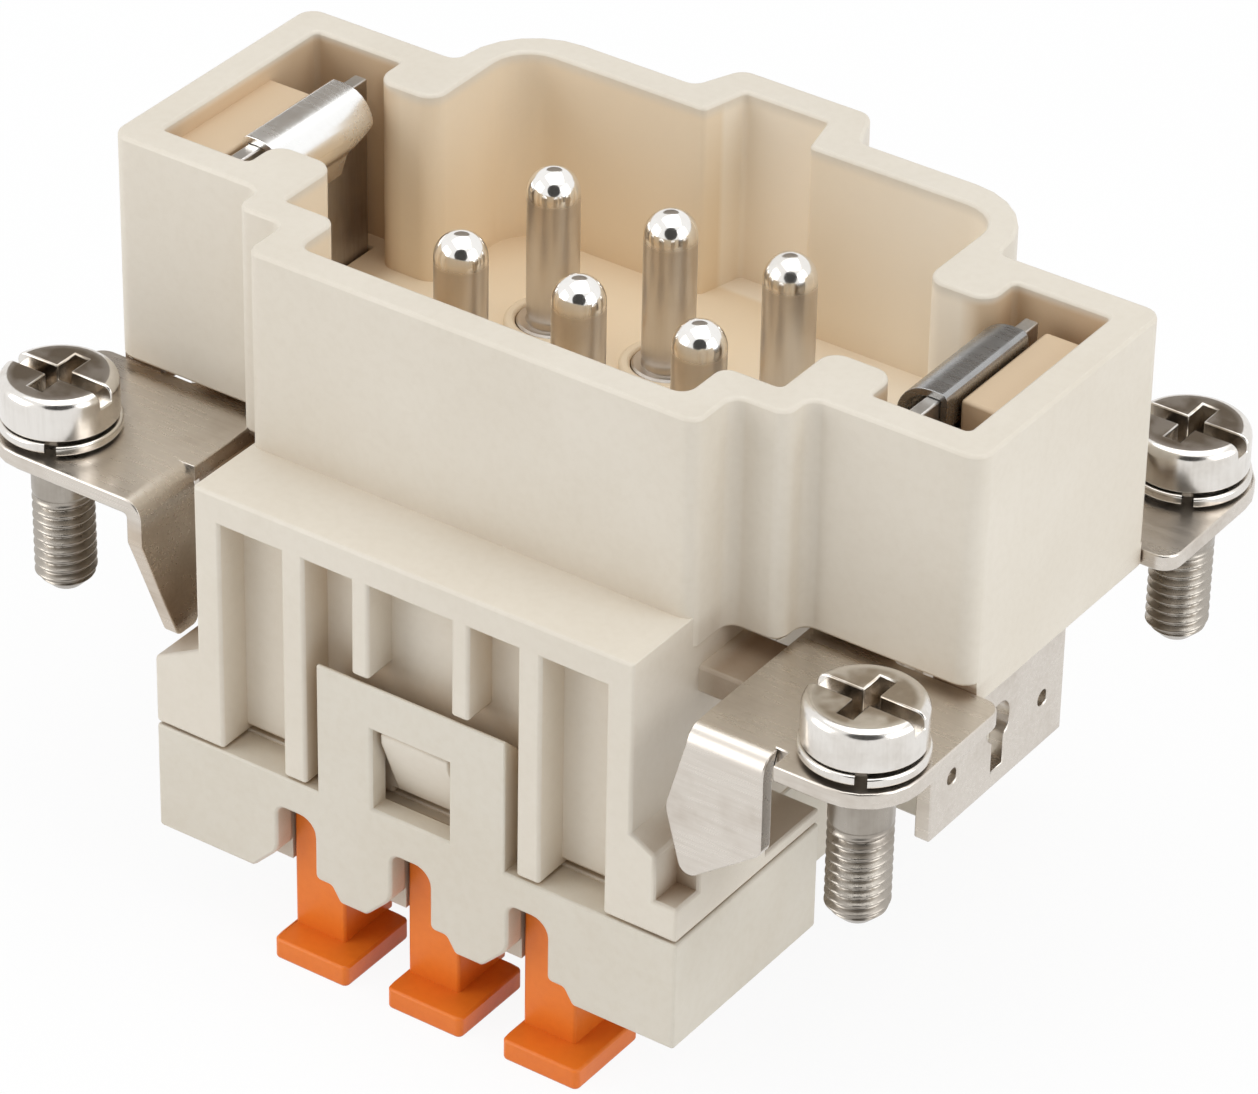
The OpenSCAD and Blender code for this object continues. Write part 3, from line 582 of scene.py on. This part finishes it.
def turned_pin(node):
    """Turned pin: a hemisphere on a straight shaft, a groove above the collar, the collar in the carrier's
    boss, a flange under the carrier's floor and a tapered stub, carried round the pin's axis."""
    low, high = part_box(node)
    tip, base, flange_r = high.z / MM, low.z / MM, (high.x - low.x) / (2 * MM)
    collar_r, collar_edge, flange_top, stub_r, stub_end_r = 1.7, 0.1, 0.8, 1.2, 1.0
    groove_r = PIN_R - 0.06
    groove = ((PIN_R, 0.5), (groove_r, 0.4), (groove_r, 0.15), (PIN_R, 0.05), (PIN_R, 0.0))
    profile = np.concatenate((
        arc_points((0, tip - PIN_R), PIN_R, 90, 0, 20),
        [(r, BOSS_TOP + rise) for r, rise in groove],
        [(collar_r - collar_edge, BOSS_TOP), (collar_r, BOSS_TOP - collar_edge), (collar_r, flange_top)],
        [(flange_r, flange_top), (flange_r, 0.0), (stub_r, 0.0), (stub_end_r, base), (0, base)],
    ))
    points, quads = lathe(profile)
    return points + axis_of(node), quads


def threaded_shank(node, top=-0.28, runout=-2.4, pitch=0.5, depth=0.26, cone=0.7):
    """Shank as radius over height and angle: a wave of the thread's pitch that runs up one pitch a turn, a
    smooth stretch above the thread and a coned end."""
    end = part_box(node)[0].z / MM
    plain_rows, thread_rows, turns = 8, 170, 48
    steepness, crest, fading_turns = 2.6, 0.15, 1.5
    plain, thread = np.linspace(top, runout, plain_rows), np.linspace(runout, end, thread_rows)
    height = np.concatenate((plain, thread[1:]))[:, None]
    angle = np.linspace(0, 2 * np.pi, turns, endpoint=False)[None, :]
    phase = (height / pitch - angle / (2 * np.pi)) % 1.0
    tooth = np.clip(np.abs(phase - 0.5) * steepness - crest, 0, 1)
    fade = np.clip((runout - height) / (fading_turns * pitch), 0, 1)
    r = np.minimum(SHANK_R - depth * tooth * fade, SHANK_R - cone + height - end)
    points = np.stack((r * np.cos(angle), r * np.sin(angle), np.broadcast_to(height, r.shape)), axis=-1)
    on_axis = np.array((0, 0, 1.0))
    points = np.concatenate((points[:1] * on_axis, points, points[-1:] * on_axis))
    return points * MM + axis_of(node), grid_quads(len(points), turns)


def split_washer(node, screw, split=-60, inner=1.7, outer=2.92, thick=0.5, rise=0.12, gap=11.0):
    """Split ring on a screw's axis: a rounded rectangle carried round nearly a full circle, rising a little
    from one end to the other; split and gap are the middle and the width of its cut in degrees."""
    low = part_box(node)[1].z / MM - rise - thick
    half, r, steps, corner_steps = thick / 2, 0.14, 97, 5
    far, near, edge = outer - r, inner + r, half - r
    corners = ((far, edge), (near, edge), (near, -edge), (far, -edge))
    arcs = [arc_points(spot, r, 90 * n, 90 * n + 90, corner_steps) for n, spot in enumerate(corners)]
    section = np.concatenate(arcs)
    angle = np.radians(np.linspace(split + gap / 2, split + 360 - gap / 2, steps))[:, None]
    lift = np.linspace(0, rise, steps)[:, None] + low + half
    reach = section[:, 0]
    ring = np.stack((reach * np.cos(angle), reach * np.sin(angle), section[:, 1] + lift), axis=-1)
    middle = np.broadcast_to(ring.mean(axis=1, keepdims=True), ring.shape)
    ring = np.concatenate((middle[:1], ring, middle[-1:]))
    return ring * MM + axis_of(screw), grid_quads(len(ring), len(section))


# Pieces

def settle(piece, body, slot, *nodes):
    """Rides a piece on its body and hides the nodes that it stands for; slot, the finish's name, is not
    used.
    """
    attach(piece, body)
    if nodes:
        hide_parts(*nodes)


carrier = rounded_copy("carrier_moulding", "contact_carrier", BEIGE, width=0.16, part_below=True)
settle(carrier, "insert", "beige_moulding", "contact_carrier")
cover = rounded_copy("cover_moulding", "wire_cover", COVER, width=0.14)
settle(cover, "insert", "cover_moulding", "wire_cover")

for i in POLES:
    lever = rounded_copy(f"lever_moulding_{i}", f"release_lever_{i}", ORANGE, width=0.12)
    settle(lever, f"lever_{i}", "orange_moulding", f"release_lever_{i}")

for end in ENDS:
    plate = rounded_copy(f"earth_sheet_{end}", f"earth_plate_{end}", SHEET, width=0.07)
    settle(plate, "insert", "tinned_sheet", f"earth_plate_{end}")

for i in POLES:
    bar = NODES[f"current_bar_{i}"].data
    bar.materials.clear()
    bar.materials.append(COPPER)

for i in POLES:
    spring = f"clamp_spring_{i}"
    leaf = finished(f"clamp_leaf_{i}", NODES[spring].data.copy(), SPRING)
    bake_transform(leaf)
    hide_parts(spring)

# The right tongue takes the darker copy of the spring steel, its shade and dark reflection painted on
for end, steel in zip(ENDS, (SPRING, SHADED_SPRING)):
    blade = rounded_copy(f"earth_blade_{end}", f"earth_contact_{end}", BLADE, width=0.08)
    settle(blade, "insert", "tinned_sheet", f"earth_contact_{end}")
    tongue = rounded_copy(f"earth_tongue_{end}", f"earth_spring_{end}", steel, width=0.02, sharp=15.0)
    settle(tongue, "insert", "spring_steel", f"earth_spring_{end}")

for i in POLES:
    pin = surface_piece(f"turned_pin_{i}", turned_pin(f"pin_{i}"), SILVER)
    settle(pin, "insert", "pin_plating", f"pin_{i}")

for i in SCREWS:
    screw = f"mounting_screw_{i}"
    head = rounded_copy(f"screw_head_{i}", screw, NICKEL, width=0.08, above=HEAD_END)
    settle(head, f"screw_{i}", "nickel_steel", screw)
    thread = surface_piece(f"screw_thread_{i}", threaded_shank(screw), THREAD)
    settle(thread, f"screw_{i}", "nickel_steel")
    washer = surface_piece(f"split_washer_{i}", split_washer(f"lock_washer_{i}", screw), NICKEL)
    settle(washer, "insert", "nickel_steel", f"lock_washer_{i}")


# Stage, light and camera

def seen_rays(tree):
    """Mask of the rays from the camera, mirrors and glass."""
    kinds = ("Camera", "Glossy", "Transmission")
    rays = tree.nodes.new("ShaderNodeLightPath")
    return maths(tree, "MAXIMUM", *(rays.outputs[f"Is {kind} Ray"] for kind in kinds))


def white_floor(half=1.5, glow_share=0.92):
    """Pale floor under the lowest piece; camera and mirror rays see it nearly white, with the shadow."""
    level = CAD_BOX[0].z
    corners = [(x * half, y * half, level) for x, y in ((-1, -1), (1, -1), (1, 1), (-1, 1))]
    mesh = bpy.data.meshes.new("floor")
    mesh.from_pydata(corners, [], [(0, 1, 2, 3)])
    material, tree, shader, place = new_material("floor_paper")
    tone = remap(tree, noise(tree, place, scale=60.0), (0.3, 0.7), to=(0.90, 0.93))
    grey = add_node(tree, "ShaderNodeCombineColor", Red=tone, Green=tone, Blue=tone)
    feed(tree, shader.inputs["Base Color"], grey.outputs["Color"])
    shader.inputs["Roughness"].default_value = 0.9
    shader.inputs["Specular IOR Level"].default_value = 0.1
    glow = tree.nodes.new("ShaderNodeEmission")
    mix = tree.nodes.new("ShaderNodeMixShader")
    feed(tree, mix.inputs[0], maths(tree, "MULTIPLY", seen_rays(tree), glow_share))
    feed(tree, mix.inputs[1], shader.outputs[0])
    feed(tree, mix.inputs[2], glow.outputs[0])
    feed(tree, tree.nodes["Material Output"].inputs["Surface"], mix.outputs[0])
    link_object("floor", mesh, material)


def studio_world(ambient):
    """Even surroundings: white to the camera and mirrors, a plain ambient level for everything else."""
    world = bpy.data.worlds.new("studio")
    world.use_nodes = True
    tree = world.node_tree
    back = tree.nodes["Background"]
    feed(tree, back.inputs["Strength"], remap(tree, seen_rays(tree), (0.0, 1.0), to=(ambient, 1.0)))
    back.inputs["Color"].default_value = rgba(1.0, 1.0, 1.0)
    bpy.context.scene.world = world


def softbox(name, place, size, power, colour=(1.0, 1.0, 1.0)):
    """Square area lamp at a place, aimed at the origin; metres and watts."""
    lamp = bpy.data.lights.new(name, "AREA")
    lamp.shape = "RECTANGLE"
    lamp.size = size
    lamp.size_y = size
    lamp.energy = power
    lamp.color = colour
    light = bpy.data.objects.new(name, lamp)
    light.location = place
    light.rotation_euler = (-Vector(place)).to_track_quat("-Z", "Y").to_euler()
    bpy.context.scene.collection.objects.link(light)


def dark_card(name, place, size, colour):
    """Round card outside the picture that bright metal mirrors; the camera itself doesn't see it."""
    facing = (-Vector(place)).to_track_quat("Z", "Y").to_matrix()
    sides = 36
    outline = arc_points((0, 0), size / 2, 0, 360 - 360 / sides, sides)
    corners = [Vector(place) + facing @ Vector((x, y, 0.0)) for x, y in outline]
    mesh = bpy.data.meshes.new(name)
    mesh.from_pydata([tuple(corner) for corner in corners], [], [tuple(range(len(corners)))])
    material, tree, shader, spot = new_material(name)
    tone = remap(tree, noise(tree, spot, scale=8.0), (0.3, 0.7), to=(0.8, 1.2))
    feed(tree, shader.inputs["Base Color"], blend_colour(tree, tone, rgba(0.0, 0.0, 0.0), rgba(*colour)))
    shader.inputs["Roughness"].default_value = 0.9
    card = link_object(name, mesh, material)
    card.visible_camera = False
    card.visible_diffuse = False
    card.visible_shadow = False


def photo_camera(azimuth, elevation, roll, offset, distance, focal):
    """Camera looking down on the front right corner: angles in degrees, the frame centre's offset and the
    distance in mm, and the focal length in frame widths."""
    a, e, r = (math.radians(angle) for angle in (azimuth, elevation, roll))
    back = Vector((math.sin(a) * math.cos(e), -math.cos(a) * math.cos(e), math.sin(e)))
    right = Vector((math.cos(a), math.sin(a), 0.0))
    up = back.cross(right)
    turned_right = right * math.cos(r) + up * math.sin(r)
    turned_up = up * math.cos(r) - right * math.sin(r)
    place = (back * distance - turned_right * offset[0] + turned_up * offset[1]) * MM
    lens = bpy.data.cameras.new("camera")
    lens.sensor_width = 36.0
    lens.lens = focal * lens.sensor_width
    lens.clip_start = 0.01
    lens.clip_end = 10.0
    camera = bpy.data.objects.new("camera", lens)
    facing = Matrix((turned_right, turned_up, back)).transposed()
    camera.matrix_world = Matrix.Translation(place) @ facing.to_4x4()
    bpy.context.scene.collection.objects.link(camera)
    bpy.context.scene.camera = camera


# Width of the photo, and the focal length of a camera fitted to the four screws in it, in its pixels
PHOTO_WIDTH, PHOTO_FOCAL = 1258, 6237.859

white_floor()
studio_world(ambient=0.5)
softbox("top_light", place=(0.02, 0.03, 0.45), size=0.5, power=1.07, colour=(0.96, 0.985, 1.0))
softbox("right_light", place=(0.45, 0.03, 0.20), size=0.35, power=0.82, colour=(0.97, 0.985, 1.0))
softbox("left_light", place=(-0.204, -0.216, 0.12), size=0.21, power=0.342)
dark_card("camera_card", place=(0.155, -0.225, 0.19), size=0.34, colour=(0.05, 0.048, 0.045))
dark_card("back_card", place=(-0.20, 0.29, 0.27), size=0.29, colour=(0.30, 0.26, 0.22))
photo_camera(azimuth=34.29, elevation=33.379, roll=1.083, offset=(-0.332, -3.734), distance=285.688,
             focal=PHOTO_FOCAL / PHOTO_WIDTH)
bpy.context.scene.view_settings.view_transform = "Standard"
